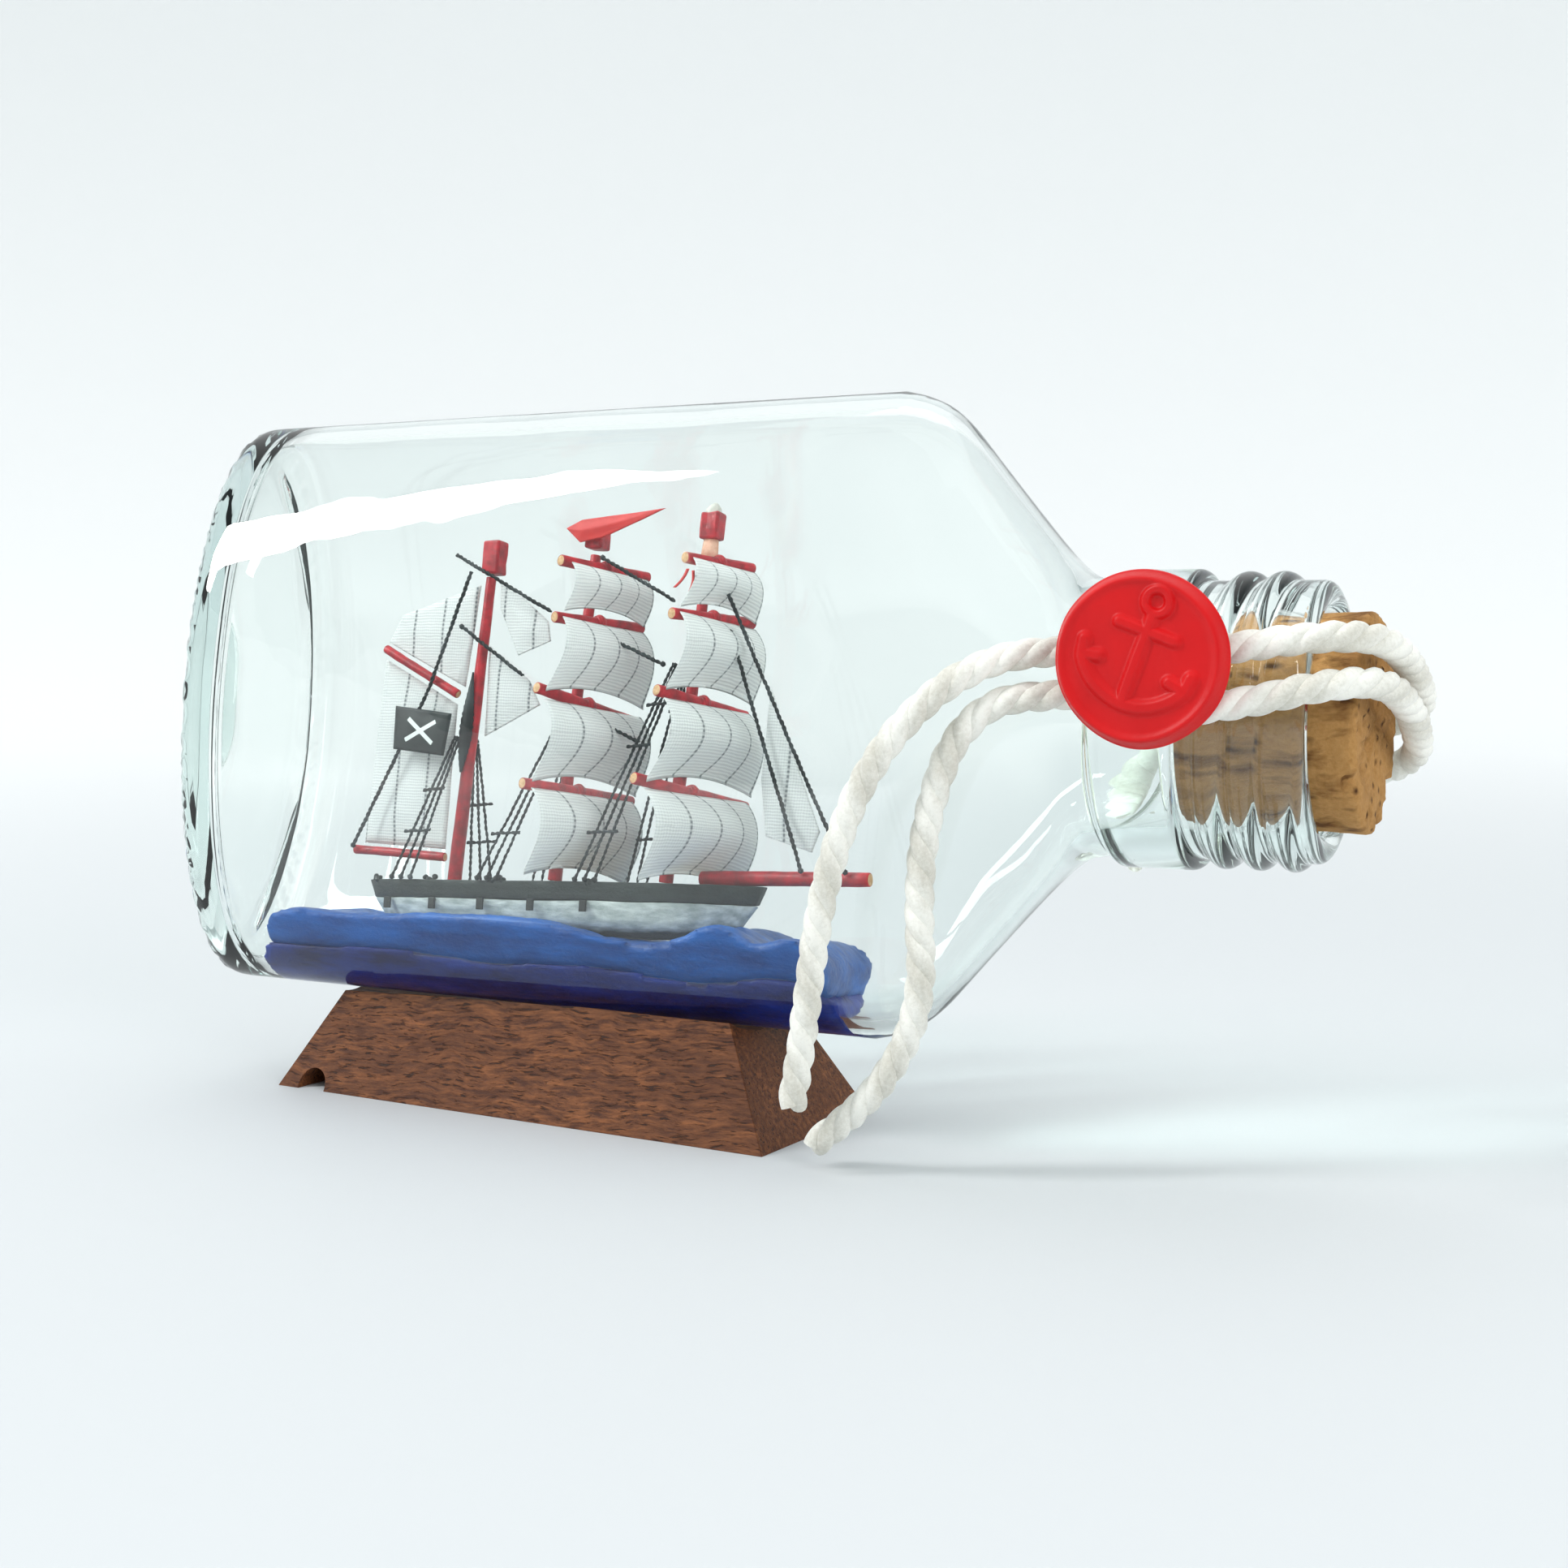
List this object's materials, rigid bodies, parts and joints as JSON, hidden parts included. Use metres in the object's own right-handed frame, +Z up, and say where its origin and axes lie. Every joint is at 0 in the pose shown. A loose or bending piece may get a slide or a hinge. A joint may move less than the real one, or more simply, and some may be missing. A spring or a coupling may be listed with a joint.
{
  "type": "ship in a bottle",
  "caption": "Square-rigged model ship in a corked flat flask-shaped bottle, lying on a wooden stand, with a cord and wax seal at the neck.",
  "frame": {"origin": "middle of the stand's flat underside", "axes": "+X along the bottle from its base to its cork, +Z up, +Y to the far side, away from the wax seal"},
  "size_m": [0.1339, 0.0386, 0.0753],
  "materials": {
    "stand_wood": "dark stained and rubbed, edges worn lighter",
    "clear_glass": "clear moulded glass, slightly wavy",
    "cork": "natural cork, pitted",
    "sealing_wax": "pressed sealing wax, soft gloss",
    "cotton_cord": "twisted three-strand cotton",
    "deep_putty": "dark blue putty",
    "swell_putty": "mid blue putty, finger-pressed",
    "hull_grey": "carved wood, grey-white paint",
    "hull_dark": "carved wood, dark grey-green paint",
    "deck_wood": "bare pale wood",
    "port_black": "black paint marks",
    "red_paint": "thin red paint on wood",
    "bare_wood": "bare pale wood",
    "sailcloth": "stiffened open weave, grey stitched seams",
    "red_cloth": "painted cloth",
    "black_cloth": "black painted cloth",
    "black_thread": "waxed black thread"
  },
  "bodies": {
    "stand": {"stand": "stand_wood"},
    "bottle": {"backstay": "black_thread", "boom": "red_paint", "bottle": "clear_glass", "bowsprit": "red_paint", "cord_loop_lower": "cotton_cord", "cord_loop_upper": "cotton_cord", "cord_tail_inner": "cotton_cord", "cord_tail_outer": "cotton_cord", "flag": "black_cloth", "fore_course_sail": "sailcloth", "fore_course_yard": "red_paint", "fore_mast": "red_paint", "fore_masthead": "red_paint", "fore_ribbons": "red_cloth", "fore_royal_sail": "sailcloth", "fore_royal_yard": "bare_wood", "fore_shrouds": "black_thread", "fore_stays": "black_thread", "fore_topgallant_sail": "sailcloth", "fore_topgallant_yard": "red_paint", "fore_topsail": "sailcloth", "fore_topsail_yard": "red_paint", "gaff": "red_paint", "gaff_topsail": "sailcloth", "gun_ports": "port_black", "hull_bulwark": "hull_dark", "hull_deck": "deck_wood", "hull_lower": "hull_grey", "jib": "sailcloth", "main_course_sail": "sailcloth", "main_course_yard": "red_paint", "main_mast": "red_paint", "main_masthead": "red_paint", "main_royal_sail": "sailcloth", "main_royal_yard": "red_paint", "main_shrouds": "black_thread", "main_stays": "black_thread", "main_topgallant_sail": "sailcloth", "main_topgallant_yard": "red_paint", "main_topsail": "sailcloth", "main_topsail_yard": "red_paint", "mizzen_mast": "red_paint", "mizzen_masthead": "red_paint", "mizzen_shrouds": "black_thread", "mizzen_stays": "black_thread", "mizzen_staysail_lower": "sailcloth", "mizzen_staysail_upper": "sailcloth", "pennant": "red_cloth", "ratline_bars": "black_thread", "sea_deep": "deep_putty", "sea_swell": "swell_putty", "spanker": "sailcloth", "wax_seal": "sealing_wax"},
    "cork": {"cork": "cork"}
  },
  "joints": [
    {"name": "bottle_lift", "type": "slide", "parent": "stand", "child": "bottle", "axis": [0, 0, 1], "range_m": [0, 0.03]},
    {"name": "cork_pull", "type": "slide", "parent": "bottle", "child": "cork", "axis": [1, 0, 0], "range_m": [0, 0.018], "deforming": ["cord_loop_upper", "cord_loop_lower"]}
  ]
}
